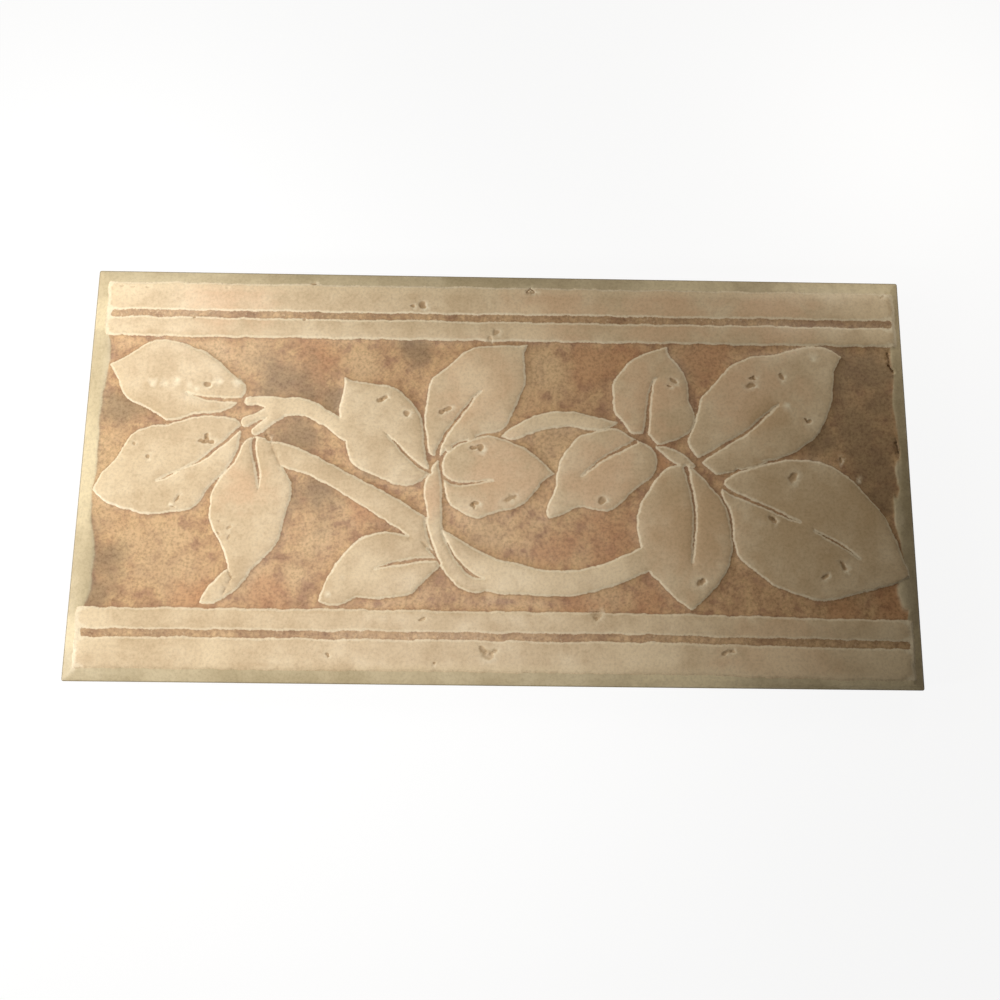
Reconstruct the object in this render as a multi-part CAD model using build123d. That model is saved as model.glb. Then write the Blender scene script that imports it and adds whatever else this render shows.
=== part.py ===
from build123d import *
import os

# A pressed and glazed ceramic border tile, one fired piece, lying on its back with its face up.
# Sizes are in millimetres. The origin is the middle of the back: X runs along the tile, Y across it
# and Z up through the face.

# Body of the tile
LENGTH = 300.0
WIDTH = 150.0
THICKNESS = 9.0
CORNER_RADIUS = 0.8

# Levels of the face: the ground is lowest, then the ledge round the edge, then the flat relief
RELIEF_HEIGHT = 1.0
LEDGE_RISE = 0.4

# Cushioned edge, where the ledge slopes down to the sides
EDGE_RUN = 3.0
EDGE_DROP = 1.4

# A pair of raised bands along each long side, parted by a sunken line. The mould sets each pair a
# little to the right of the middle.
MARGIN = 4.8
BAND_END_GAP = 3.5
BAND_CORNER_RADIUS = 0.6
WIDE_BAND = 10.6
LINE_WIDTH = 2.9
LINE_END_INSET = 1.6
LINE_END_RADIUS = 1.1
NARROW_BAND = 7.2
UPPER_BAND_SHIFT = 1.4
LOWER_BAND_SHIFT = 0.3

# The sunken panel. Its two ends are modelled freehand: steps inwards from the mean line, top to bottom.
PANEL_END_GAP = 6.0
LEFT_WAVE = (0.3, 1.2, -0.2, -0.3, 0.0, -0.5, 1.1, 2.2, 0.0)
RIGHT_WAVE = (-1.0, -1.4, -0.9, -1.7, -0.7, 1.3, -0.5, -2.0, -1.0)

# Keying channels in the back, which hold the adhesive
KEY_RIM = 10.0
KEY_PITCH = 13.0
KEY_WIDTH = 5.0
KEY_DEPTH = 0.6

# Size and centre line of the panel that the ornament below was drawn for
DRAWN_LENGTH = 289.6
DRAWN_HEIGHT = 99.4
DRAWN_CENTRE_Y = 0.5

# Levels and lines that follow from these sizes
GROUND = THICKNESS - RELIEF_HEIGHT
LEDGE = GROUND + LEDGE_RISE
BAND_PAIR = WIDE_BAND + LINE_WIDTH + NARROW_BAND
BAND_LENGTH = LENGTH - 2 * BAND_END_GAP
PANEL_LENGTH = LENGTH - 2 * PANEL_END_GAP
PANEL_HEIGHT = WIDTH - 2 * (MARGIN + BAND_PAIR)

# Outlines of the leaves, each from its pointed tip round to the tip again
LEAVES = {
    "left_upper": [
        (-143, 39.4), (-135.5, 43.5), (-129, 47.8), (-121.5, 48.4), (-111, 45.3), (-102.5, 40.3),
        (-97.5, 35.3), (-92.8, 30.6), (-93.9, 27.4), (-96.4, 24.2), (-102, 21.5), (-110.5, 20.8),
        (-119.5, 18), (-127.5, 22.2), (-135, 25.7), (-139.5, 33),
    ],
    "left_middle": [
        (-145, -7.6), (-141.8, -0.8), (-136.8, 5), (-133, 12.3), (-127.5, 15.8), (-118, 17), (-110, 19.7),
        (-100.5, 19.8), (-94.6, 18), (-93.6, 12.2), (-95.2, 6), (-99.5, -1.2), (-104.2, -7), (-107, -12),
        (-115, -15.3), (-124, -16.3), (-135, -13.9), (-141, -11.6),
    ],
    "left_lower": [
        (-95.6, -45), (-94.6, -37), (-97.4, -28), (-99.5, -24.5), (-102.2, -19.5), (-102.8, -12.5),
        (-102, -6.5), (-98.5, -0.5), (-94.8, 4), (-93.2, 8.5), (-90.8, 11.7), (-86, 12.5), (-83.2, 11),
        (-80.3, 6.5), (-77.6, 1), (-75.2, -3), (-74.1, -8.5), (-75.6, -14), (-77, -21), (-78.6, -26.2),
        (-82, -30.8), (-86.4, -35), (-90, -40.2), (-93.4, -43.6),
    ],
    "left_lower_curled_tip": [
        (-104.5, -47.3), (-102, -42.4), (-97.9, -37.6), (-95.2, -35.8), (-92.4, -38.6), (-93.4, -42.8),
        (-96.4, -45.8), (-100.5, -47.3),
    ],
    "middle_left": [
        (-56.7, 35.4), (-51.5, 33.6), (-44.5, 32.7), (-38.5, 31.6), (-33, 27.2), (-29.3, 22.5),
        (-27.6, 15.5), (-26.2, 7), (-25.3, 1), (-27.6, -2.8), (-35, -4.8), (-41, -2.6), (-46, -0.2),
        (-51.5, 2.2), (-54.7, 7.5), (-55.6, 13.5), (-58, 20.5), (-57.5, 28),
    ],
    "middle_upper": [
        (10.4, 49), (9, 45.5), (9.5, 38.5), (8.2, 30), (5, 23.3), (2.6, 17.6), (-3.5, 15), (-10, 12.6),
        (-17, 9.8), (-20.6, 6.6), (-23.6, 6.6), (-25.9, 12.5), (-27.3, 20), (-26.1, 27.5), (-25.3, 34.3),
        (-21.5, 37.9), (-15, 43.4), (-9, 47.4), (0, 48.4),
    ],
    "middle_right": [
        (20.2, 0.2), (15, -4.2), (10.5, -9.7), (4, -13), (-2, -14.2), (-7.5, -16.2), (-13, -14),
        (-17.3, -11), (-19.3, -5), (-20.2, 1), (-18.6, 7.4), (-11.5, 11.9), (-4.5, 13.9), (4, 12.5),
        (10.5, 9.1),
    ],
    "middle_lower": [
        (-62.4, -46.4), (-60, -38.5), (-55.5, -31), (-50, -25), (-44, -22.2), (-37, -21.8), (-30, -23.5),
        (-23.5, -28.5), (-20.6, -32.4), (-25.5, -38.6), (-30.5, -43.5), (-37, -44.7), (-43, -45.5),
        (-48.5, -44.9), (-54, -47),
    ],
    "right_inner": [
        (18.4, -15.4), (17.9, -11.5), (20.3, -6.5), (21, 0), (22.6, 5), (25, 9.5), (29.5, 14.3),
        (36, 16.4), (43.5, 17.3), (49.3, 13.6), (52.5, 12.2), (57, 9), (57.6, 4), (55.3, -0.8),
        (50.8, -4.2), (46, -8.8), (38.5, -12.8), (30.8, -11.5), (24.5, -13.8),
    ],
    "right_small": [
        (62.2, 49), (63.4, 45), (67.5, 40), (69.7, 33.5), (70.1, 27.5), (71.7, 22.5), (70, 16.6),
        (64, 13.4), (57.5, 12.1), (54.8, 15.2), (49.3, 15.5), (45.3, 19.5), (42, 23.8), (41.7, 28.5),
        (41.8, 34.5), (46.2, 40.6), (50.5, 44.3), (57, 47.2),
    ],
    "right_lower": [
        (69, -47.9), (75, -43), (80.3, -36.5), (83.6, -28.5), (83.9, -18), (82, -10), (76.5, -3),
        (71.3, 2.4), (66, 4.2), (61, 2.7), (55.5, -4), (51.2, -11.3), (50.2, -19.5), (51.6, -26.8),
        (54.5, -34.5), (60, -40.4), (65.5, -45.4),
    ],
    "right_upper": [
        (127.6, 45.8), (124.4, 39.5), (123.3, 31), (121, 23.5), (116.5, 16), (109, 10), (99, 6.4),
        (88.5, 3.6), (79.5, 1.3), (74.4, 4.9), (72.6, 7.1), (69.7, 12), (71.8, 19.8), (74.3, 28.4),
        (80.6, 36), (85.8, 41.6), (93.6, 45.3), (104, 46.8), (110.5, 49), (121, 49.2),
    ],
    "right_long": [
        (147.2, -35.4), (138, -39), (128, -41.3), (116, -43.9), (107.5, -42.2), (98, -38.4),
        (90.5, -32.7), (86, -28), (84.9, -18), (83, -10), (80.8, -4.5), (82.4, -1.4), (88.5, 2.2),
        (97.5, 4.9), (109, 6.8), (120.5, 5), (130, -1.7), (137, -10), (142.5, -20),
    ],
}

# Stems and stalks: points along the middle, with the width at each. A width of 0 is a pointed end.
STEMS = {
    "main": [
        (-82.5, 8.5, 5), (-76, 5.4, 8.2), (-68, 2.4, 7.6), (-60, -1.4, 7), (-50, -6.8, 7.7),
        (-40, -12.3, 8.4), (-31, -17.8, 9), (-23, -23, 9),
    ],
    "upright": [
        (-21.1, 5.2, 0), (-23.2, -1.5, 4.8), (-23.4, -6, 6.3), (-22.8, -12, 5.4), (-22.3, -19, 5.2),
        (-20.3, -26, 5.4), (-16.5, -33, 6.8), (-11.5, -37.4, 7.6), (-6, -39.2, 7),
    ],
    "sweep": [
        (-19.2, -21.6, 2), (-14.5, -27.5, 8), (-8, -33.4, 11.5), (1, -37, 12), (10, -38, 9.6),
        (20, -39.2, 9), (30, -38.4, 8.7), (41, -35.3, 8.6), (53, -30, 9),
    ],
    "upper_left": [
        (-91.3, 26, 3.2), (-86.5, 25.8, 3.8), (-80, 23.8, 6.6), (-73, 23.9, 6.5), (-66, 21.7, 5.9),
        (-60, 17.9, 5.8), (-55, 14.5, 6),
    ],
    "upper_left_prong": [(-92, 18, 3.4), (-87.5, 20.3, 3.2), (-82, 22.6, 4)],
    "lower_left_prong": [(-88.4, 14.7, 2.8), (-85, 17.2, 3.2), (-80.5, 20.8, 4)],
    "upper_right": [
        (0.8, 13.8, 0), (6.3, 15.6, 4.4), (12, 18.2, 5.5), (20, 20.4, 5.6), (28, 20.5, 5.6),
        (35.5, 19.3, 5), (43.4, 19.6, 0),
    ],
    "short_stalk": [(57.2, 11, 0), (61.5, 8.9, 3.4), (66.5, 6.3, 4.2), (70.8, 4, 1.6)],
}

# Grooves through the relief, given in the same way: the midribs of the leaves, and the lines that part
# one form from another
GROOVES = {
    "left_upper_midrib": [(-94.4, 26.2, 1.7), (-99, 26, 1.5), (-106, 26.5, 1.2), (-114.8, 29.1, 0)],
    "left_middle_midrib": [(-93.6, 15.6, 1.9), (-99.5, 10.2, 1.4), (-105, 5.4, 1.2), (-112.4, 1.1, 0)],
    "left_middle_midrib_end": [(-114.7, -0.3, 0), (-119, -2.1, 0.7), (-123.2, -4.1, 0)],
    "left_lower_midrib": [(-88.5, 11.8, 1.6), (-88.4, 7, 1.4), (-86.6, -1, 1), (-86.4, -6.2, 0)],
    "middle_left_midrib": [(-25, 0.6, 1.4), (-30, 3.9, 1.3), (-35, 8.3, 1.1), (-40.3, 14, 0)],
    "middle_upper_midrib": [
        (-22.1, 6, 1.7), (-20.8, 11, 1.3), (-17, 17.5, 1.1), (-12, 24.5, 0.9), (-6.8, 31, 0),
    ],
    "middle_right_midrib": [(-20.6, -0.6, 1.1), (-17.5, -3, 1.2), (-10, -3.4, 0.9), (-1.7, -2.6, 0)],
    "middle_lower_midrib": [(-21, -30.9, 1), (-27, -31.4, 1.2), (-33, -32.2, 1.4), (-43.3, -34.7, 0)],
    "right_inner_midrib": [(50, 12.5, 1.6), (44.5, 9.7, 1.2), (38.5, 6.1, 0.9), (30, -0.2, 0)],
    "right_small_midrib": [(53.4, 14.2, 2), (54.3, 20, 1.5), (54.9, 27, 1.2), (57.9, 37.1, 0)],
    "right_lower_midrib": [
        (68.3, 3.6, 1.6), (70, -4, 1.2), (71, -13, 1), (70.6, -22, 0.8), (69.9, -31.3, 0),
    ],
    "right_upper_midrib": [
        (73.2, 6, 1.8), (80, 10.5, 1.4), (89, 15.7, 1.2), (96, 21.3, 0.9), (103.5, 27.2, 0),
    ],
    "right_long_midrib": [(81, -3.1, 1.9), (88, -7, 1.4), (98, -11.5, 1.2), (109.5, -16.3, 0)],
    "right_long_midrib_end": [(113.6, -19, 0), (121, -23, 0.9), (130.3, -29, 0)],
    "between_middle_leaves": [
        (-20.2, 6.3, 1), (-14.5, 10.8, 0.8), (-10, 12.3, 0.6), (-4.5, 14.5, 0.9), (1, 13.7, 0.8),
        (7.3, 11.9, 0),
    ],
    "left_of_upright": [(-25.9, -14.2, 0), (-25, -21, 0.7), (-22.4, -28, 0.9), (-20.4, -32.3, 0.9)],
    "right_of_upright": [
        (-19.9, -19.9, 0), (-17.4, -26, 0.6), (-14.6, -30.8, 1), (-10.3, -35.2, 1.3), (-4, -37.7, 0),
    ],
    "top_of_upright": [(-21, 5.5, 1.1), (-20.7, 1, 0.9), (-20.2, -2, 0.7)],
}


def on_tile(point):
    """A point of the drawing, fitted to the panel."""
    x, y = point
    return x * PANEL_LENGTH / DRAWN_LENGTH, (y - DRAWN_CENTRE_Y) * PANEL_HEIGHT / DRAWN_HEIGHT


def smooth(points):
    return Spline(*[on_tile(point) for point in points])


def leaf(outline):
    """A leaf blade, smooth all round but for its tip."""
    return make_face(smooth([*outline, outline[0]]))


def ribbon(stations):
    """A strip through points that each carry its width there, with ends round or pointed."""
    middle = [Vector(x, y) for x, y, width in stations]
    left, right = [], []
    for i, (x, y, width) in enumerate(stations):
        along = (middle[min(i + 1, len(middle) - 1)] - middle[max(i - 1, 0)]).normalized()
        half = Vector(-along.Y, along.X) * (width / 2)
        left.append((x + half.X, y + half.Y))
        right.append((x - half.X, y - half.Y))

    def cap(end, inside, width, first, last):
        tip = end + (end - inside).normalized() * (width / 2)
        return ThreePointArc(on_tile(first), on_tile((tip.X, tip.Y)), on_tile(last))

    outline = [smooth(left), smooth(right)]
    first_width, last_width = stations[0][2], stations[-1][2]
    if first_width:
        outline.append(cap(middle[0], middle[1], first_width, right[0], left[0]))
    if last_width:
        outline.append(cap(middle[-1], middle[-2], last_width, left[-1], right[-1]))
    return make_face(outline)


def ornament():
    """The leaves and stems in plan, with their grooves cut and clipped to the panel."""
    forms = [leaf(outline) for outline in LEAVES.values()]
    forms += [ribbon(stations) for stations in STEMS.values()]
    grooves = [ribbon(stations) for stations in GROOVES.values()]
    relief = Sketch() + forms
    relief -= grooves
    return relief & Rectangle(LENGTH - 2 * EDGE_RUN, PANEL_HEIGHT)


def band_pair(side):
    """One long side's two bands in plan, joined at their ends round the sunken line."""
    bands = RectangleRounded(BAND_LENGTH, BAND_PAIR, BAND_CORNER_RADIUS)
    middle = side * (PANEL_HEIGHT + BAND_PAIR) / 2
    return Pos(band_shift(side), middle) * bands - sunken_line(side)


def band_shift(side):
    return UPPER_BAND_SHIFT if side > 0 else LOWER_BAND_SHIFT


def sunken_line(side):
    middle = side * (PANEL_HEIGHT / 2 + NARROW_BAND + LINE_WIDTH / 2)
    end_radius = min(LINE_END_RADIUS, 0.45 * LINE_WIDTH)
    line = RectangleRounded(BAND_LENGTH - 2 * LINE_END_INSET, LINE_WIDTH, end_radius)
    return Pos(band_shift(side), middle) * line


def sunken_panel():
    """The panel in plan. It runs on under the narrow bands, and its two ends are wavy."""
    top = PANEL_HEIGHT / 2
    step = PANEL_HEIGHT / (len(LEFT_WAVE) - 1)
    left = [(-PANEL_LENGTH / 2 + wave, top - i * step) for i, wave in enumerate(LEFT_WAVE)]
    right = [(PANEL_LENGTH / 2 - wave, top - i * step) for i, wave in enumerate(RIGHT_WAVE)]
    under = NARROW_BAND / 2
    upper_side = Polyline(left[0], (left[0][0], top + under), (right[0][0], top + under), right[0])
    lower_side = Polyline(right[-1], (right[-1][0], -top - under), (left[-1][0], -top - under), left[-1])
    return make_face([*upper_side.edges(), Spline(*right), *lower_side.edges(), Spline(*left[::-1])])


def slab():
    """The body up to the ledge, with its cushioned edge."""
    body = extrude(Rectangle(LENGTH, WIDTH), LEDGE)
    face = body.faces().sort_by(Axis.Z)[-1]
    body = chamfer(face.edges(), length=EDGE_RUN, length2=EDGE_DROP, reference=face)
    return body & extrude(RectangleRounded(LENGTH, WIDTH, CORNER_RADIUS), LEDGE)


def keying_channels():
    count = int((WIDTH - 2 * KEY_RIM) // KEY_PITCH)
    channel = Rectangle(LENGTH - 2 * KEY_RIM, KEY_WIDTH)
    return [extrude(place * channel, KEY_DEPTH) for place in GridLocations(0, KEY_PITCH, 1, count)]


def border_tile():
    sunken = [sunken_panel(), sunken_line(1), sunken_line(-1)]
    raised = [band_pair(1), band_pair(-1), ornament()]
    tile = slab()
    tile -= [extrude(Pos(0, 0, GROUND) * plan, RELIEF_HEIGHT) for plan in sunken]
    tile += [extrude(Pos(0, 0, GROUND / 2) * plan, THICKNESS - GROUND / 2) for plan in raised]
    tile -= keying_channels()
    return tile


os.makedirs("parts", exist_ok=True)
export_step(border_tile(), "parts/border_tile.step")
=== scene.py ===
import math
import bmesh
import bpy
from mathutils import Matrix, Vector, geometry, kdtree, noise
from mathutils.bvhtree import BVHTree


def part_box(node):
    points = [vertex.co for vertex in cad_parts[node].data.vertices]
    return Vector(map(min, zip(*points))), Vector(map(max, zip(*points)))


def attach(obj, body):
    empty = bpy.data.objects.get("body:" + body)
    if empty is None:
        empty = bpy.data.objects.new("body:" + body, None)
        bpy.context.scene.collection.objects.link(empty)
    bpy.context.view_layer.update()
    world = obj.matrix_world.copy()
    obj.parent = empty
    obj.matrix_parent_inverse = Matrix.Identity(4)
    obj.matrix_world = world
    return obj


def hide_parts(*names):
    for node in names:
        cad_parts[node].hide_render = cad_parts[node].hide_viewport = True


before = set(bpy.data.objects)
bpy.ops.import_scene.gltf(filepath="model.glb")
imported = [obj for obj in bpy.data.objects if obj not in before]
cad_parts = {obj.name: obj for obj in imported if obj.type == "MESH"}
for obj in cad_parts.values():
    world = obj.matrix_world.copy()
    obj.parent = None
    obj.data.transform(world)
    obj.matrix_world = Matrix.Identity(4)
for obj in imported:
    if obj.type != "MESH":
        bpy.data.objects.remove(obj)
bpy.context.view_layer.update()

# The border tile: one oblong of red clay, pressed face up in a mould that leaves the leaves, the vine
# and the paired bands standing above a sunken panel, then sprayed with a satin glaze that looks like
# old stone, and fired. It lies loose on its keyed back. Below a run of glaze it is bare biscuit.
MM = 0.001
half_length, half_width, top_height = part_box("border_tile")[1]
ray_height = top_height + 41 * MM
border_width = 3.3 * MM
corner_radius = 0.8 * MM

pressed = bmesh.new()
pressed.from_mesh(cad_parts["border_tile"].data)
bmesh.ops.remove_doubles(pressed, verts=pressed.verts, dist=0.001 * MM)
pressed.normal_update()
pressed.faces.index_update()
mould = BVHTree.FromBMesh(pressed)

# The three levels of the pressed face, and the edges where the relief and the panel begin.
levels = {}
for face in pressed.faces:
    if face.normal.z > 0.999:
        levels[face.index] = round(face.calc_center_median().z, 5)
ground, ledge, crown = sorted(set(levels.values()))
shoulder = min(v.co.z for f in pressed.faces if 0.5 < f.normal.z < 0.99 for v in f.verts)

relief_edges = []
panel_edges = []
for edge in pressed.edges:
    one, two = edge.link_faces
    for top, wall in ((one, two), (two, one)):
        level = levels.get(top.index)
        if level is None or abs(wall.normal.z) > 0.2:
            continue
        if level == crown:
            relief_edges.append((edge, wall.normal))
        elif level == ledge and wall.calc_center_median().z < ledge:
            panel_edges.append((edge, wall.normal))


def along(edges, step):
    for edge, outward in edges:
        start = edge.verts[0].co.xy
        end = edge.verts[1].co.xy
        count = max(1, math.ceil((end - start).length / step))
        for index in range(count):
            yield start.lerp(end, (index + 0.5) / count), outward.xy.normalized()


def nearest(edges):
    points = [point for point, outward in along(edges, 0.15 * MM)]
    tree = kdtree.KDTree(len(points))
    for index, point in enumerate(points):
        tree.insert((point.x, point.y, 0), index)
    tree.balance()
    return tree


relief_tree = nearest(relief_edges)
panel_tree = nearest(panel_edges)


def relief_distance(x, y):
    away = relief_tree.find((x, y, 0))[2]
    hit = mould.ray_cast(Vector((x, y, ray_height)), Vector((0, 0, -1)))[0]
    inside = hit is not None and hit.z > crown - 0.01 * MM
    return away if inside else -away


def panel_distance(x, y):
    away = panel_tree.find((x, y, 0))[2]
    hit = mould.ray_cast(Vector((x, y, ray_height)), Vector((0, 0, -1)))[0]
    sunk = hit is not None and edge_distance(x, y) > border_width and abs(hit.z - ledge) > 0.01 * MM
    return away if sunk else -away


def edge_distance(x, y):
    across = abs(x) - half_length + corner_radius
    up = abs(y) - half_width + corner_radius
    if across > 0 and up > 0:
        return corner_radius - math.hypot(across, up)
    return corner_radius - max(across, up)


def eased(value):
    value = min(1, max(0, value))
    return value * value * (3 - 2 * value)


def rounded_rim(inset, step):
    radius = max(corner_radius - inset, 0.05 * MM)
    length = half_length - inset - radius
    width = half_width - inset - radius
    corners = ((length, -width, -90), (length, width, 0), (-length, width, 90), (-length, -width, 180))
    rim = []
    for index, (x, y, turn) in enumerate(corners):
        for part in range(5):
            angle = math.radians(turn + 22.5 * part)
            rim.append(Vector((x + radius * math.cos(angle), y + radius * math.sin(angle))))
        run = 2 * (width if index % 2 == 0 else length)
        ahead = Vector((-math.sin(angle), math.cos(angle)))
        pieces = round(run / step)
        corner = rim[-1]
        for part in range(1, pieces):
            rim.append(corner + ahead * (run * part / pieces))
    return rim


def turned(x, y, degrees):
    c = math.cos(math.radians(degrees))
    s = math.sin(math.radians(degrees))
    return x * c - y * s, x * s + y * c


def oval_ring(x, y, length, width, turn, reach, count):
    for index in range(count):
        angle = 2 * math.pi * index / count
        u, v = turned(reach * length * math.cos(angle), reach * width * math.sin(angle), turn)
        yield (x + u) * MM, (y + v) * MM


def oval_reach(u, v, length, width, turn=0):
    along_it, across_it = turned(u, v, -turn)
    return math.hypot(along_it / length, across_it / width)


# Faults in the pressing, in mm: middle x and y, half length, half width, turn in degrees, depth, and
# the share of stain in the pit.
faults = (
    (-106.1, 31.1, 1.0, 0.9, 0, 0.38, 1.0),
    (-105.1, 10.5, 1.1, 1.0, 0, 0.38, 1.0),
    (-107.0, 10.3, 1.1, 0.6, 0, 0.34, 1.0),
    (-105.2, 11.9, 0.6, 1.0, 0, 0.34, 1.0),
    (-103.5, 9.8, 1.2, 0.75, -10, 0.38, 1.0),
    (-106.1, 9.6, 0.8, 0.5, 0, 0.3, 0.9),
    (-130.9, 8.9, 0.6, 0.5, 110, 0.3, 0.7),
    (-125.6, 3.9, 0.8, 0.65, 0, 0.35, 0.8),
    (-113.9, -11.0, 1.6, 0.45, 50, 0.34, 0.9),
    (-115.8, -14.0, 0.9, 0.3, -20, 0.3, 0.5),
    (-98.7, -18.9, 0.5, 0.4, 0, 0.2, 0.35),
    (-95.0, -21.1, 0.9, 0.45, 45, 0.25, 0.5),
    (-98.7, -23.3, 0.7, 0.4, -30, 0.3, 0.5),
    (-94.7, -24.6, 1.0, 0.35, 70, 0.2, 0.4),
    (-43.2, 26.3, 1.3, 0.75, 20, 0.34, 0.9),
    (-41.7, 27.1, 1.3, 0.65, 40, 0.34, 0.9),
    (-33.3, 21.4, 1.05, 0.95, -45, 0.38, 0.9),
    (-20.6, 22.2, 1.2, 0.8, 20, 0.34, 0.9),
    (-18.5, 23.2, 1.4, 0.75, 15, 0.34, 0.9),
    (-6.5, 9.1, 1.2, 1.1, 0, 0.41, 1.0),
    (-8.9, 8.9, 1.1, 0.6, 0, 0.38, 1.0),
    (-8.9, -11.8, 1.0, 0.7, 45, 0.38, 0.9),
    (-7.4, -11.1, 1.1, 0.6, 10, 0.34, 0.9),
    (-8.1, -12.5, 0.5, 0.9, 0, 0.3, 0.8),
    (4.2, -9.3, 2.2, 0.7, 24, 0.3, 0.8),
    (37.4, -9.5, 1.5, 1.1, 35, 0.38, 0.9),
    (64.0, 35.2, 1.3, 0.7, -35, 0.34, 0.9),
    (62.5, 32.9, 0.8, 0.4, -20, 0.35, 0.8),
    (72.0, -38.2, 1.6, 0.8, 25, 0.34, 0.9),
    (72.9, -37.6, 0.8, 0.8, 0, 0.34, 0.9),
    (92.9, 36.3, 1.3, 0.6, -5, 0.38, 1.0),
    (93.4, 37.0, 0.6, 0.6, 0, 0.38, 1.0),
    (92.1, 33.7, 1.5, 0.8, 10, 0.41, 1.0),
    (104.0, 37.2, 1.1, 0.75, 110, 0.38, 1.0),
    (112.3, 21.0, 1.1, 0.55, -60, 0.38, 0.9),
    (113.2, 20.4, 1.1, 0.75, 40, 0.38, 0.9),
    (106.7, -0.3, 1.8, 1.3, 55, 0.38, 0.9),
    (98.2, -15.3, 1.2, 0.75, -20, 0.38, 0.9),
    (99.0, -16.1, 0.9, 0.85, -60, 0.38, 0.9),
    (123.0, -32.2, 1.7, 0.7, -58, 0.38, 1.0),
    (116.6, -35.8, 1.2, 0.7, 15, 0.34, 0.9),
    (124.7, 6.4, 0.9, 0.45, 100, 0.3, 0.9),
    (-28.7, 62.7, 1.4, 1.15, -50, 0.38, 1.0),
    (-32.3, 62.4, 0.8, 0.6, -30, 0.3, 0.9),
    (10.6, 69.2, 1.2, 0.3, 48, 0.35, 0.9),
    (12.2, 69.4, 1.3, 0.3, -38, 0.35, 0.9),
    (11.6, 68.3, 1.8, 0.3, 3, 0.35, 0.9),
    (-1.3, 52.9, 1.4, 0.9, 20, 0.3, 0.6),
    (-3.6, 50.3, 0.9, 0.9, 0, 0.3, 0.35),
    (-72.3, 56.5, 0.55, 0.4, 0, 0.35, 0.9),
    (-113.1, 56.5, 0.5, 0.4, 0, 0.35, 0.9),
    (35.2, -49.9, 1.8, 0.7, 0, 0.3, 0.5),
    (35.3, -51.0, 1.2, 0.9, 0, 0.35, 0.5),
    (35.1, -52.0, 0.5, 0.5, 0, 0.3, 0.5),
    (-25.9, -52.5, 1.3, 0.4, 25, 0.35, 0.6),
    (-4.4, -62.9, 1.6, 0.9, -45, 0.35, 0.55),
    (-2.8, -64.5, 1.8, 1.4, -30, 0.3, 0.5),
    (-0.9, -63.3, 1.4, 0.45, 38, 0.3, 0.55),
    (79.9, -62.6, 1.2, 0.65, 40, 0.35, 0.6),
    (81.3, -61.8, 1.2, 0.6, 10, 0.35, 0.6),
    (82.5, -61.8, 0.7, 0.4, -30, 0.3, 0.6),
    (-58.3, -64.7, 0.8, 0.55, -40, 0.35, 0.8),
    (-21.2, -67.3, 0.5, 0.4, 0, 0.25, 0.6),
    (144.4, 45.4, 2.3, 0.5, 95, 0.9, 1.0),
    (145.0, 41.6, 1.9, 0.5, -62, 0.8, 1.0),
    (145.6, 10.8, 3.2, 0.6, 92, 0.9, 1.0),
    (-140.4, 68.6, 0.8, 0.4, 0, 0.15, 0.3),
    (-136.5, 68.4, 0.9, 0.4, 10, 0.15, 0.3),
    (-131.0, 68.4, 0.7, 0.4, 0, 0.15, 0.3),
    (-101.5, 68.6, 0.6, 0.4, 0, 0.12, 0.25),
    (-69.8, 70.2, 1.0, 0.4, 0, 0.3, 0.9),
    (143.4, 69.0, 0.9, 0.35, 30, 0.2, 0.4),
    (-83.2, 11.9, 1.4, 0.8, -60, 0.38, 0.6),
    (-80.2, 6.0, 5.4, 0.45, -67, 0.28, 0.35),
    (-93.7, -37.5, 1.4, 0.4, -65, 0.3, 0.2),
    (-94.5, -41.6, 3.2, 0.4, 65, 0.3, 0.2),
    (-25.0, -26.5, 2.2, 0.4, -40, 0.3, 0.2),
    (-18.2, -9.0, 2.6, 0.4, -75, 0.2, 0.0),
)

# Where the sprayed ground and the tile's margins came out smoky, reddish or pale, each as middle x and y and
# a radius in mm.
# On the right the smoky places are partly painted shade, and on the margins and in the sunken lines the pale
# places are partly painted light.
smoky_and_shaded_places = (
    (-138, 22, 8), (-131, 27, 5), (-140, -34, 8), (-141, -45, 7), (-78, 33, 11), (-70, 27, 6), (-60, 26, 6),
    (-72, 13, 9), (-30, 46, 7), (-65, -10, 9), (-47, 1, 5), (131, 38, 17), (130, 18, 15), (136, 4, 10),
    (-130, -75, 7), (-92, -75, 8), (-78, -75, 8), (-64, -75, 8), (-50, -75, 7), (-72, 75, 7), (-15, 75, 7),
    (-2, 75, 7), (10, 75, 7), (149, 10, 6), (149, 0, 6), (149, -10, 6), (120, 14, 9), (140, 27, 9),
    (139, -9, 8),
)
reddish_places = (
    (-68, 43, 9), (-80, -45, 8), (-105, -46, 8), (34, 40, 9), (44, 46, 8), (40, -22, 11), (22, -27, 8),
    (77, 44, 10), (122, -47, 6), (141, -44, 8), (55, -45, 9), (30, -46, 8), (-46, -12, 7), (60, 7, 5),
)
pale_and_lit_places = (
    (-90, 43, 7), (-122, -30, 11), (-112, -38, 9), (-66, -27, 6), (-72, -38, 5), (22, 11, 11), (18, 38, 9),
    (-5, -22, 8), (-50, 40, 7), (-105, 44, 6), (72, 45, 7), (36, -45, 7), (33, 41, 5), (-85, -42, 6),
    (0, 58, 9), (-60, 58, 8), (-120, -58, 9), (60, -58, 9), (120, -58, 11),
    (105, 73, 4), (113, 73, 4), (121, 73, 5), (129, 73, 5), (137, 73, 5), (145, 73, 5),
    (-148, 0, 24), (146, 48, 10), (70, -73, 18), (135, -73, 20), (70, 73, 18),
)
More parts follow.
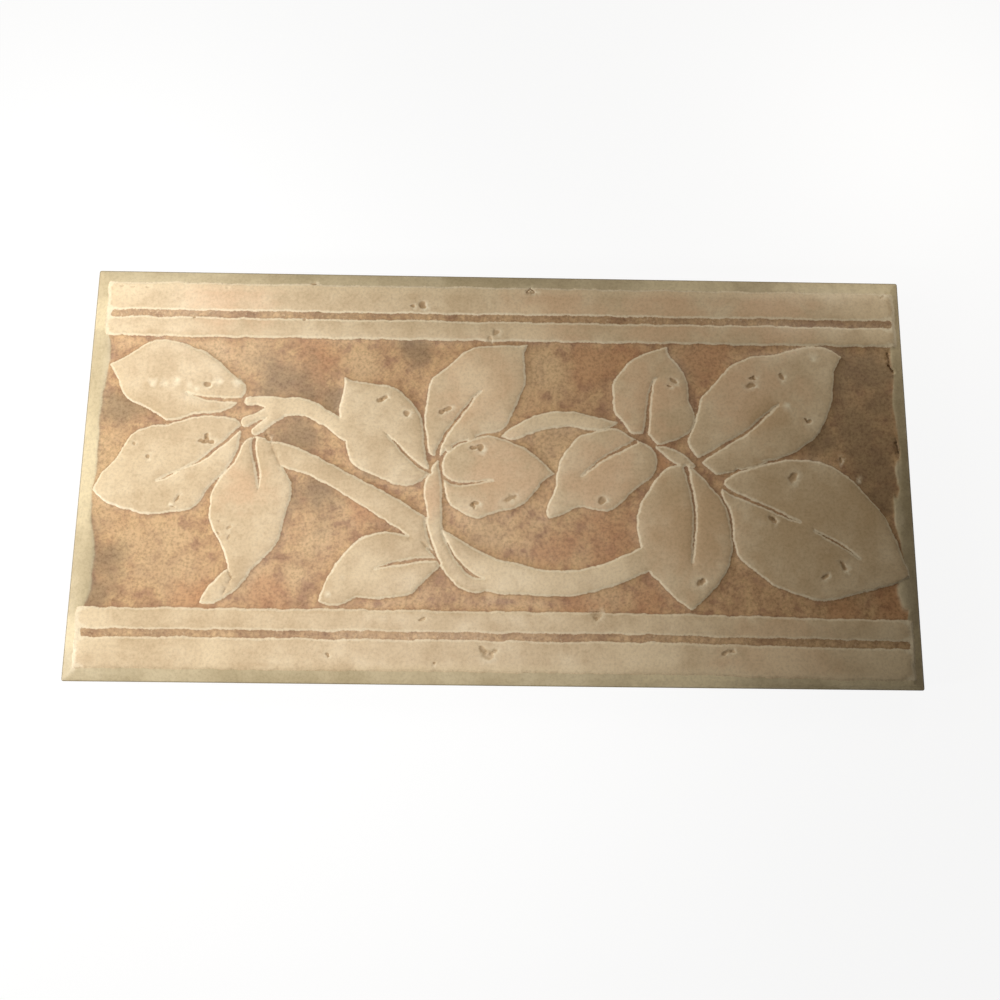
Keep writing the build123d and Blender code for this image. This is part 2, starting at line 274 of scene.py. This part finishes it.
# Where the glaze on the raised work came out dull, warm or bright, in the same terms. The dull places on the
# right-hand leaves are partly painted shade, and the bright places partly painted light.
dull_and_shaded_places = ((112, -18, 22), (128, -12, 14), (72, -18, 15), (64, -8, 7), (100, 22, 9))
warm_places = (
    (-8, 33, 15), (2, 0, 14), (38, 0, 15), (54, 28, 13), (92, 30, 16), (70, -20, 16), (-25, -10, 6),
    (-100, 65, 14), (20, 64, 18), (60, 60, 16), (100, 62, 16), (100, -64, 16), (-90, -8, 8),
)
bright_and_lit_places = (
    (-75, 25, 12), (-63, 20, 8), (-8, 34, 8), (20, 21, 12), (34, 19, 6), (20, -38, 12), (2, -38, 10),
    (40, -34, 9), (-48, -36, 8), (-140, 66, 6), (-140, -56, 10), (-100, -66, 7), (50, -66, 14),
    (100, -66, 12), (140, -66, 14), (10, 53, 10), (142, 56, 12), (-148, 0, 14),
    (104, 71, 3), (111, 71, 3), (118, 71, 3), (125, 71, 3), (132, 71, 3), (139, 71, 3), (145, 71, 3),
)


def cloud(places, x, y):
    ragged = 0.5 * noise.noise(Vector((x, y, 0.6)) * 110) + 0.35 * noise.noise(Vector((x, y, 0.5)) * 330)
    most = 0
    for place_x, place_y, radius in places:
        away = math.hypot(x / MM - place_x, y / MM - place_y) / radius
        most = max(most, eased(0.8 * (1.5 - away + 1.3 * ragged)))
    return most


# Lumps where the border has slumped into the panel, and bays where the panel bites into it, each as
# middle x and y and half sizes in mm.
lumps = ((145.4, 2.5, 1.3, 3.6), (144.7, -13.6, 1.7, 5.2), (145.2, -40.6, 3.0, 5.6))
bays = ((144.8, 38.8, 1.3, 3.4), (145.2, 12.5, 1.4, 6.5), (144.2, -4.6, 1.0, 2.6))

# Webs where the glaze has filled the gap between two leaves, each as middle x and y, half length,
# half width, in mm, and turn in degrees.
webs = (
    (91.5, 4.1, 5.5, 0.9, 13), (84.5, 2.3, 1.5, 0.6, 10), (-9.6, 12.4, 1.5, 0.8, 25),
    (-17.7, 8.7, 1.2, 0.8, 45),
)

# Small blisters in the glaze, each as middle x and y and a radius in mm. They stand a little proud, and
# their pale colour is a painted glint.
blisters = (
    (-126.3, 31.9, 1.3), (-121.8, 31.4, 1.1), (-117.3, 32.2, 1.2), (-112.6, 30.4, 0.9), (-102, 32.4, 1.4),
    (-95.2, 32.2, 1.5), (-116.4, -13.2, 0.9), (116.1, 44.6, 1.5), (105.9, 26.1, 1.2), (130.6, -0.5, 1.0),
    (-109.8, 29.5, 1.0), (-58.5, -43.6, 0.8), (-53.4, -38.2, 0.6), (-48, -31.5, 0.6), (-30.1, 65.5, 0.6),
)

# Where the finish of the bands, their outer brims, their sunken lines and their ends sets in, in mm
# from the middle of the tile.
bands_from = 47
brims_from = 66
lines_from = 51
lines_to = 65
ends_from = 141

foot = 0.3 * MM
round_over = 0.75 * MM
edge_step = 0.55 * MM
edge_gap = 0.32 * MM
fault_gap = 0.25 * MM
lump_gap = 0.4 * MM
spots = []
taken = set()


def place(x, y, gap):
    cell = (round(x / gap), round(y / gap), gap)
    if cell not in taken:
        taken.add(cell)
        spots.append(Vector((x, y)))


# The points of the face: close together along the edges and round the faults, wider apart elsewhere.
spots.extend(rounded_rim(0, 1.2 * MM))
for inset in (0.3, 0.8, 1.5, 2.3, 3.0):
    spots.extend(rounded_rim(inset * MM, 1.3 * MM))
for offset in (-foot, 0, 0.35 * MM, round_over):
    for point, outward in along(relief_edges, edge_step):
        x, y = point - outward * offset
        if edge_distance(x, y) > 3.0 * MM and abs(relief_distance(x, y) - offset) < 0.1 * MM:
            place(x, y, edge_gap)
for offset in (-0.5 * MM, 0, 0.5 * MM):
    for point, outward in along(panel_edges, 0.8 * MM):
        x, y = point - outward * offset
        if abs(relief_distance(x, y)) > 0.6 * MM:
            place(x, y, edge_gap)
for x, y, length, width, turn, depth, stain in faults:
    for reach, count in ((0.0, 1), (0.5, 8), (0.8, 12), (1.05, 14), (1.3, 14), (1.65, 14)):
        for spot in oval_ring(x, y, length, width, turn, reach, count):
            if edge_distance(*spot) > 0.5 * MM:
                place(*spot, fault_gap)
for x, y, length, width in lumps + bays:
    for reach in (0.7, 0.9, 1.1, 1.3):
        for spot in oval_ring(x, y, length, width, 0, reach, 24):
            place(*spot, lump_gap)
pitch = 1.7 * MM
row_height = 0.866 * pitch
for row in range(int(2 * half_width / row_height)):
    for column in range(int(2 * half_length / pitch)):
        x = -half_length + (column + 0.5 * (row % 2)) * pitch
        y = -half_width + row * row_height
        x += 0.3 * pitch * noise.noise(Vector((x, y, 0.3)) * 900)
        y += 0.3 * pitch * noise.noise(Vector((x, y, 0.7)) * 900)
        if edge_distance(x, y) > 3.6 * MM and abs(relief_distance(x, y) - 0.3 * MM) > 1.1 * MM:
            spots.append(Vector((x, y)))

flat = geometry.delaunay_2d_cdt(spots, [], [], 0, 0.01 * MM)
points, triangles = flat[0], flat[2]


def slumped(x, y, panel):
    swollen = 0
    for lump_x, lump_y, length, width in lumps:
        outside = oval_reach(x / MM - lump_x, y / MM - lump_y, length, width) - 1
        panel = min(panel, 1.5 * MM * outside)
        swollen = max(swollen, eased(0.6 - 1.5 * outside))
    for bay_x, bay_y, length, width in bays:
        outside = oval_reach(x / MM - bay_x, y / MM - bay_y, length, width) - 1
        panel = max(panel, -1.2 * MM * outside)
    return panel, swollen


def webbed(x, y, relief, rise):
    for web_x, web_y, length, width, turn in webs:
        joined = eased(2.6 - 2 * oval_reach(x / MM - web_x, y / MM - web_y, length, width, turn))
        rise = max(rise, 0.85 * joined)
        relief = max(relief, (1.4 * joined - 0.5) * MM) if joined > 0 else relief
    return relief, rise


# Each fault is sunk and stained. The ring round it gets a painted highlight, stronger on the side that faces
# the lamps.
def pitted(x, y):
    sunk = 0
    fault = 0
    lit = 0
    for fault_x, fault_y, length, width, turn, depth, stain in faults:
        u = x / MM - fault_x
        v = y / MM - fault_y
        if u * u + v * v > (2.2 * length) ** 2:
            continue
        ragged = 1 + 0.35 * noise.noise(Vector((x, y, 0.2)) * 900)
        reach = ragged * oval_reach(u, v, length, width, turn) / 1.12
        sunk += depth * MM * eased((1.2 - reach) / 0.55)
        fault = max(fault, stain * eased((1.15 - reach) / 0.5))
        facing = max(0, 0.85 * u - 0.5 * v) / max(math.hypot(u, v), 0.1)
        ring = eased((reach - 0.85) / 0.3) * eased((1.75 - reach) / 0.5)
        if depth < 0.7:
            lit = max(lit, stain * ring * (0.4 + 1.1 * facing))
    return sunk, fault, lit


def puffed(x, y):
    most = 0
    for blister_x, blister_y, radius in blisters:
        most = max(most, eased(1.4 - math.hypot(x / MM - blister_x, y / MM - blister_y) / radius))
    return most


# Each point gets its height, a little drift that frays the edges, and the masks that the glaze uses, some of
# which paint light and shade.
# The drift comes from a fixed seed, so that each run gives the same edges.
drift_seed = 5
noise.seed_set(drift_seed)
skin = bmesh.new()
masks = skin.verts.layers.float
relief_layer = masks.new("relief")
panel_layer = masks.new("panel")
fault_layer = masks.new("fault")
lip_and_highlight_layer = masks.new("lip_and_highlight")
smoke_and_shade_layer = masks.new("smoke_and_shade")
blush_layer = masks.new("blush")
pale_and_lit_layer = masks.new("pale")
edge_layer = masks.new("edge")
rim_highlight_layer = masks.new("rim")
for x, y in points:
    from_edge = edge_distance(x, y)
    relief = relief_distance(x, y)
    panel, swollen = slumped(x, y, panel_distance(x, y))
    slope = min(1, (half_length - abs(x)) / (5.6 * MM), (half_width - abs(y)) / (4.6 * MM))
    border = shoulder + (ledge - shoulder) * (1 - (1 - slope) ** 1.3)
    sideways = abs(x) / MM
    upward = abs(y) / MM
    end = eased((sideways - ends_from) / 4) * eased((upward - bands_from) / 2)
    brim = eased((upward - brims_from) / 2)
    in_line = eased((upward - lines_from) / 2) * eased((lines_to - upward) / 2)
    streak = noise.noise(Vector((x * 130, y * 40, 0.3)))
    pooled = ground + (0.36 + 0.28 * in_line) * MM * (1 - eased((-relief - foot) / (2.2 * MM)))
    base = border + (pooled - border) * eased((panel + 0.45 * MM) / (0.9 * MM))
    rise = eased((relief + foot) / (foot + round_over * (1 + 2 * end)))
    relief, rise = webbed(x, y, relief, rise)
    swell = noise.noise(Vector((x, y, 0)) * 80) + 0.5 * noise.noise(Vector((x, y, 0.1)) * 210)
    top = crown - 0.16 * MM + 0.16 * MM * eased(relief / (4 * MM)) - 0.05 * MM * (0.7 + 0.7 * swell)
    z = base + (top - base) * rise + 0.05 * MM * swell * (1 - rise) * min(1, from_edge / (2 * MM))
    sunk, fault, lit = pitted(x, y)
    blister = puffed(x, y)
    # The lip mask is painted highlight on the pit rings and glints on the blisters, plus a paler tone on the
    # slumped lumps.
    lip_and_highlight = max(0.35 * swollen, lit, 1.5 * blister)
    z += 0.12 * MM * blister - sunk
    drift = noise.noise_vector(Vector((x, y, 0.4)) * 120) + noise.noise_vector(Vector((x, y, 0.7)) * 280)
    drift += 0.5 * noise.noise_vector(Vector((x, y, 0.9)) * 700)
    drift.y -= 3.6 * eased((x / MM - 40) / 110) * eased((-y / MM - 42) / 8)
    held = min(1, max(0, from_edge - 0.6 * MM) / (2 * MM))
    drift *= 0.38 * MM * held
    vertex = skin.verts.new((x + drift.x, y + drift.y, min(z, crown)))
    # At the band ends the relief mask is stretched, so the colour edge and the painted highlight along it
    # run wider.
    vertex[relief_layer] = max(-4, min(4, relief / MM / (1 + 1.5 * end if relief > 0 else 1)))
    vertex[panel_layer] = max(-4, min(4, panel / MM))
    vertex[fault_layer] = fault
    vertex[lip_and_highlight_layer] = lip_and_highlight * (1 - fault)
    # Clouds of tone: partly the glaze's own, partly painted light (pale, bright) and painted shade (smoky,
    # dull).
    if relief > -0.1 * MM:
        vertex[smoke_and_shade_layer] = cloud(dull_and_shaded_places, x, y)
        vertex[blush_layer] = cloud(warm_places, x, y)
        # Painted highlight on the outer brims of the wide bands, whose edges slope away from the lamps: all
        # along the top brim, and towards the right on the bottom brim.
        brim_highlight = eased((upward - brims_from - 1) / 1.5) * (0.9 if y > 0 else eased((x / MM + 70) / 60))
        vertex[pale_and_lit_layer] = max(cloud(bright_and_lit_places, x, y), brim_highlight)
    else:
        vertex[smoke_and_shade_layer] = max(cloud(smoky_and_shaded_places, x, y), 0.45 * in_line * eased(-2.2 * streak))
        vertex[blush_layer] = cloud(reddish_places, x, y)
        # The pale streaks in the sunken lines are painted light, to lift the shade in the narrow channel.
        vertex[pale_and_lit_layer] = max(cloud(pale_and_lit_places, x, y), 0.9 * in_line * eased(0.8 + 2 * streak))
    vertex[edge_layer] = min(4, from_edge / MM)
    # How strong the pale rim is: less on the lower bands and the bottom brims, whose edges face away from
    # the lamps, and full again at the band ends.
    shaded = eased((-y / MM - bands_from) / 2)
    vertex[rim_highlight_layer] = 0.65 - max(0.6 * brim if y < 0 else 0, 0.22 * shaded) * (1 - end)
skin.verts.ensure_lookup_table()
for triangle in triangles:
    face = skin.faces.new([skin.verts[index] for index in triangle])
    face.smooth = True
skin.normal_update()
if sum(face.normal.z for face in skin.faces) < 0:
    bmesh.ops.reverse_faces(skin, faces=skin.faces)

# The sides go down in three drops: a thin run of glaze, then bare biscuit that is slightly uneven.
rim_edges = [edge for edge in skin.edges if len(edge.link_faces) == 1]
GLAZED = 0
BISCUIT = 1
for drop, inward in ((0.75, 0.0), (2.6, 0.05), (6.4, 0.08)):
    lowered = bmesh.ops.extrude_edge_only(skin, edges=rim_edges)["geom"]
    for vertex in lowered:
        if isinstance(vertex, bmesh.types.BMVert):
            waver = noise.noise(Vector((vertex.co.x, vertex.co.y, 0)) * 120)
            vertex.co.z = shoulder - drop * MM + (0.3 * MM * waver if drop < 6 else 0)
            pull = inward * MM * (0.5 + 0.5 * noise.noise(Vector((vertex.co.x, vertex.co.y, drop)) * 400))
            if abs(vertex.co.x) > half_length - corner_radius:
                vertex.co.x -= math.copysign(pull, vertex.co.x)
            if abs(vertex.co.y) > half_width - corner_radius:
                vertex.co.y -= math.copysign(pull, vertex.co.y)
            vertex[relief_layer] = -4
            vertex[panel_layer] = -4
    for face in lowered:
        if isinstance(face, bmesh.types.BMFace):
            face.smooth = drop < 1
            face.material_index = GLAZED if drop < 1 else BISCUIT
    rim_edges = [edge for edge in lowered if isinstance(edge, bmesh.types.BMEdge)]

# The back, with its keying channels, is the pressed solid's own, joined to the foot of the sides.
channel_depth = min(v.co.z for v in pressed.verts if v.co.z > 0.1 * MM)
upper = [face for face in pressed.faces if max(v.co.z for v in face.verts) > channel_depth + 0.1 * MM]
bmesh.ops.delete(pressed, geom=upper, context="FACES")
back = bpy.data.meshes.new("keyed_back")
pressed.to_mesh(back)
pressed.free()
first_back_face = len(skin.faces)
skin.from_mesh(back)
bpy.data.meshes.remove(back)
skin.faces.ensure_lookup_table()
for face in skin.faces[first_back_face:]:
    face.material_index = BISCUIT
    face.smooth = False
open_edges = [edge for edge in skin.edges if len(edge.link_faces) == 1]
bridge = bmesh.ops.bridge_loops(skin, edges=open_edges)
for face in bridge["faces"]:
    face.material_index = BISCUIT
    face.smooth = False
bmesh.ops.triangulate(skin, faces=[face for face in skin.faces if len(face.verts) > 3])
bmesh.ops.recalc_face_normals(skin, faces=skin.faces)
shape = bpy.data.meshes.new("glazed_tile")
skin.to_mesh(shape)
skin.free()
tile = bpy.data.objects.new("glazed_tile", shape)
bpy.context.collection.objects.link(tile)


def paint(red, green, blue):
    return tuple(pow((value / 255 + 0.055) / 1.055, 2.4) for value in (red, green, blue)) + (1,)


def add(tree, kind, links=None, **settings):
    made = tree.nodes.new(kind)
    for name, value in settings.items():
        setattr(made, name, value)
    for socket, value in (links or {}).items():
        if isinstance(value, bpy.types.NodeSocket):
            tree.links.new(value, made.inputs[socket])
        else:
            made.inputs[socket].default_value = value
    return made


def mask(tree, name):
    return add(tree, "ShaderNodeAttribute", attribute_name=name).outputs["Fac"]


def between(tree, value, start, end):
    fade = add(tree, "ShaderNodeMapRange", {"Value": value, "From Min": start, "From Max": end})
    fade.interpolation_type = "SMOOTHSTEP"
    return fade.outputs[0]


def times(tree, one, two):
    return add(tree, "ShaderNodeMath", {0: one, 1: two}, operation="MULTIPLY").outputs[0]


def laid_over(tree, under, over, amount, blend="MIX"):
    layer = add(tree, "ShaderNodeMix", {0: amount, 6: under, 7: over}, data_type="RGBA", blend_type=blend)
    return layer.outputs[2]


def shades(tree, value, *stops):
    ramp = add(tree, "ShaderNodeValToRGB", {0: value})
    elements = ramp.color_ramp.elements
    while len(elements) < len(stops):
        elements.new(0.5)
    for element, (position, colour) in zip(elements, stops):
        element.position = position
        element.color = colour
    return ramp.outputs[0]


fired = bpy.data.node_groups.new("fired_grain", "ShaderNodeTree")
fired.interface.new_socket("Fineness", in_out="INPUT", socket_type="NodeSocketFloat")
fired.interface.new_socket("Grain", in_out="OUTPUT", socket_type="NodeSocketFloat")
fired.interface.new_socket("Clouds", in_out="OUTPUT", socket_type="NodeSocketFloat")
group_in = add(fired, "NodeGroupInput")
where = add(fired, "ShaderNodeTexCoord").outputs["Object"]
fineness = group_in.outputs["Fineness"]
grain = add(fired, "ShaderNodeTexNoise", {"Vector": where, "Scale": fineness, "Detail": 5, "Roughness": 0.7})
clouds = add(fired, "ShaderNodeTexNoise", {"Vector": where, "Scale": 75, "Detail": 6, "Roughness": 0.6})
add(fired, "NodeGroupOutput", {"Grain": grain.outputs[0], "Clouds": clouds.outputs[0]})

glaze = bpy.data.materials.new("stone_look_glaze")
glaze.use_nodes = True
mix = glaze.node_tree
mix.nodes.clear()
surface = add(mix, "ShaderNodeGroup", node_tree=fired)
surface.inputs["Fineness"].default_value = 900
fine, cloudy = surface.outputs
where = add(mix, "ShaderNodeTexCoord").outputs["Object"]
relief = mask(mix, "relief")
panel = mask(mix, "panel")
fault = mask(mix, "fault")
lip_and_highlight = mask(mix, "lip_and_highlight")
smoke_and_shade = mask(mix, "smoke_and_shade")
blush = mask(mix, "blush")
pale_and_lit_spot = mask(mix, "pale")
edge = mask(mix, "edge")
rim_highlight_strength = mask(mix, "rim")
mottled = add(mix, "ShaderNodeTexNoise", {"Vector": where, "Scale": 230, "Detail": 4, "Roughness": 0.55})
mottle = mottled.outputs[0]
frayed = add(mix, "ShaderNodeTexNoise", {"Vector": where, "Scale": 1300, "Detail": 2}).outputs[0]
fray = add(mix, "ShaderNodeMapRange", {"Value": frayed, "To Min": -0.35, "To Max": 0.35}).outputs[0]
worn_relief = add(mix, "ShaderNodeMath", {0: relief, 1: fray}, operation="ADD").outputs[0]
cream = shades(
    mix, cloudy,
    (0.30, paint(206, 180, 142)), (0.50, paint(222, 198, 161)), (0.68, paint(234, 213, 178)),
)
base_glaze = shades(
    mix, cloudy,
    (0.30, paint(198, 180, 144)), (0.50, paint(210, 193, 157)), (0.68, paint(220, 204, 169)),
)
brown = shades(
    mix, cloudy,
    (0.28, paint(170, 132, 98)), (0.42, paint(192, 152, 112)),
    (0.56, paint(208, 169, 126)), (0.72, paint(220, 185, 141)),
)
golden = laid_over(mix, brown, paint(226, 190, 140), times(mix, between(mix, mottle, 0.50, 0.64), 0.5))
rosy = laid_over(mix, golden, paint(168, 126, 96), times(mix, between(mix, mottle, 0.48, 0.34), 0.7))
# Pale and smoky clouds on the ground: partly the glaze's own tone, partly painted light and painted shade.
paled_and_lit = laid_over(mix, rosy, paint(222, 190, 146), times(mix, pale_and_lit_spot, 0.6))
reddish = laid_over(mix, paled_and_lit, paint(198, 144, 101), times(mix, blush, 0.6))
smoked_and_shaded = laid_over(mix, reddish, paint(152, 127, 95), times(mix, smoke_and_shade, 0.7))
in_panel = between(mix, panel, -0.3, 0.4)
# The margins the same way: paler where partly painted light, darker where partly painted shade.
bordered = laid_over(mix, base_glaze, paint(236, 219, 180), times(mix, pale_and_lit_spot, 0.8))
shadowy = laid_over(mix, bordered, paint(184, 167, 130), times(mix, smoke_and_shade, 0.55))
sunk = laid_over(mix, shadowy, smoked_and_shaded, in_panel)
# Darker where the ground meets the foot of the relief: painted shade in the corner.
foot_shade = times(mix, between(mix, worn_relief, -0.8, -0.35), in_panel)
foot_shaded = laid_over(mix, sunk, paint(150, 112, 80), times(mix, foot_shade, 0.35))
uneven = laid_over(mix, cream, paint(204, 176, 138), times(mix, between(mix, mottle, 0.50, 0.36), 0.35))
warmed = laid_over(mix, uneven, paint(226, 187, 147), times(mix, blush, 0.6))
# Bright and dull clouds on the raised work: partly the glaze's own tone, partly painted light and painted
# shade.
brightened_and_lit = laid_over(mix, warmed, paint(244, 223, 186), times(mix, pale_and_lit_spot, 0.6))
dulled_and_shaded = laid_over(mix, brightened_and_lit, paint(198, 168, 126), times(mix, smoke_and_shade, 0.6))
raised = laid_over(mix, foot_shaded, dulled_and_shaded, between(mix, worn_relief, -0.3, 0.05))
edged = times(mix, between(mix, worn_relief, -0.25, 0.05), between(mix, worn_relief, 0.85, 0.3))
# A pale rim along the relief edges: partly glaze running thin, partly painted highlight.
rim_highlighted = laid_over(mix, raised, paint(250, 236, 206), times(mix, edged, rim_highlight_strength))
# Painted highlight on the pit rings and blisters, and the paler slumped lumps.
lipped_and_highlighted = laid_over(mix, rim_highlighted, paint(248, 234, 204), times(mix, lip_and_highlight, 0.65))
# A dark line along the outermost half millimetre of the face: painted shade where the edge rounds away and
# meets the floor.
outer_edge_shaded = laid_over(mix, lipped_and_highlighted, paint(120, 104, 74), times(mix, between(mix, edge, 0.45, 0.1), 0.7))
stained = laid_over(mix, outer_edge_shaded, paint(184, 153, 114), fault)
texture = times(mix, between(mix, worn_relief, 0.4, -0.4), in_panel)
speck = add(mix, "ShaderNodeMapRange", {"Value": texture, "To Min": 0.35, "To Max": 0.8}).outputs[0]
sandy = shades(mix, fine, (0.34, paint(198, 190, 180)), (0.56, paint(255, 255, 255)))
sanded = laid_over(mix, stained, sandy, speck, "MULTIPLY")
bumps = add(mix, "ShaderNodeMix", {0: 0.35, 2: fine, 3: mottle}, data_type="FLOAT").outputs[0]
roughened = add(mix, "ShaderNodeBump", {"Strength": 0.35, "Distance": 0.25 * MM, "Height": bumps}).outputs[0]
sheen = add(mix, "ShaderNodeMapRange", {"Value": cloudy, "To Min": 0.62, "To Max": 0.40}).outputs[0]
coat = add(mix, "ShaderNodeBsdfPrincipled", {"Base Color": sanded, "Roughness": sheen, "Normal": roughened})
add(mix, "ShaderNodeOutputMaterial", {0: coat.outputs[0]})

biscuit = bpy.data.materials.new("red_biscuit")
biscuit.use_nodes = True
mix = biscuit.node_tree
mix.nodes.clear()
surface = add(mix, "ShaderNodeGroup", node_tree=fired)
surface.inputs["Fineness"].default_value = 1400
fine, cloudy = surface.outputs
clay = shades(
    mix, cloudy,
    (0.30, paint(166, 104, 74)), (0.50, paint(184, 120, 86)), (0.70, paint(198, 138, 102)),
)
dust = shades(mix, fine, (0.35, paint(190, 180, 170)), (0.62, paint(255, 255, 255)))
dusty = laid_over(mix, clay, dust, 0.7, "MULTIPLY")
grainy = add(mix, "ShaderNodeBump", {"Strength": 0.5, "Distance": 0.2 * MM, "Height": fine}).outputs[0]
body = add(mix, "ShaderNodeBsdfPrincipled", {"Base Color": dusty, "Roughness": 0.85, "Normal": grainy})
add(mix, "ShaderNodeOutputMaterial", {0: body.outputs[0]})

shape.materials.append(glaze)
shape.materials.append(biscuit)
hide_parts("border_tile")
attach(tile, "root")

# The floor: a plain pale surface for the picture only. It takes the tile's shadow and otherwise
# stays near white, as the background of the photo is.
floor_shape = bpy.data.meshes.new("floor")
floor_shape.from_pydata([(-3, -3, 0), (3, -3, 0), (3, 3, 0), (-3, 3, 0)], [], [(0, 1, 2, 3)])
floor = bpy.data.objects.new("floor", floor_shape)
floor.location.z = -0.05 * MM
bpy.context.collection.objects.link(floor)
pale = bpy.data.materials.new("pale_floor")
pale.use_nodes = True
mix = pale.node_tree
mix.nodes.clear()
path = add(mix, "ShaderNodeLightPath")
camera_ray = path.outputs["Is Camera Ray"]
glossy_ray = path.outputs["Is Glossy Ray"]
through_ray = path.outputs["Is Transmission Ray"]
mirrored = add(mix, "ShaderNodeMath", {0: camera_ray, 1: glossy_ray}, operation="ADD").outputs[0]
seen = add(mix, "ShaderNodeMath", {0: mirrored, 1: through_ray}, operation="ADD").outputs[0]
glow = add(mix, "ShaderNodeEmission", {"Color": (1, 1, 1, 1), "Strength": times(mix, seen, 0.9)})
dull = add(mix, "ShaderNodeBsdfDiffuse", {"Color": (0.12, 0.12, 0.12, 1)})
both = add(mix, "ShaderNodeAddShader", {0: glow.outputs[0], 1: dull.outputs[0]})
add(mix, "ShaderNodeOutputMaterial", {0: both.outputs[0]})
floor_shape.materials.append(pale)

# The light: a soft lamp above the left half that fades out to the right, a low one on the left that
# catches the edges of the relief, two faint ones by the upper corners, and a weak even fill.
over_lamp = bpy.data.lights.new("over_lamp", "SPOT")
over_lamp.spot_size = math.radians(44)
over_lamp.spot_blend = 1
over_lamp.energy = 5.6
over_lamp.shadow_soft_size = 0.08
low_lamp = bpy.data.lights.new("low_lamp", "POINT")
low_lamp.energy = 3.7
low_lamp.shadow_soft_size = 0.04
side_lamp = bpy.data.lights.new("side_lamp", "POINT")
side_lamp.energy = 0.5
side_lamp.shadow_soft_size = 0.04
corner_lamp = bpy.data.lights.new("corner_lamp", "POINT")
corner_lamp.energy = 0.26
corner_lamp.shadow_soft_size = 0.03
for lamp, location, colour in (
    (over_lamp, (-0.068, -0.065, 0.5), (1.0, 0.965, 0.93)),
    (low_lamp, (-0.42, -0.16, 0.15), (1.0, 0.985, 0.94)),
    (side_lamp, (-0.16, 0.095, 0.12), (1.0, 0.985, 0.95)),
    (corner_lamp, (0.167, 0.14, 0.1), (1.0, 0.94, 0.84)),
):
    lamp.color = colour
    holder = bpy.data.objects.new(lamp.name, lamp)
    holder.location = location
    bpy.context.collection.objects.link(holder)
fill = bpy.data.worlds.new("even_fill")
fill.use_nodes = True
fill.node_tree.nodes["Background"].inputs["Color"].default_value = (1, 0.91, 0.76, 1)
fill.node_tree.nodes["Background"].inputs["Strength"].default_value = 0.07
bpy.context.scene.world = fill
bpy.context.scene.view_settings.view_transform = "Standard"

# The camera: a wide lens, held close above the tile and a little towards the viewer, as in the photo.
# Its place and tilt put the four corners of the tile where the photo has them.
lens = bpy.data.cameras.new("camera")
lens.lens = 27
lens.sensor_width = 36
lens.clip_start = 0.01
camera = bpy.data.objects.new("camera", lens)
camera.location = (-0.00174, -0.0491, 0.27415)
camera.rotation_euler = (math.radians(8.38), math.radians(-0.66), math.radians(0.688))
bpy.context.collection.objects.link(camera)
bpy.context.scene.camera = camera

bpy.context.view_layer.update()
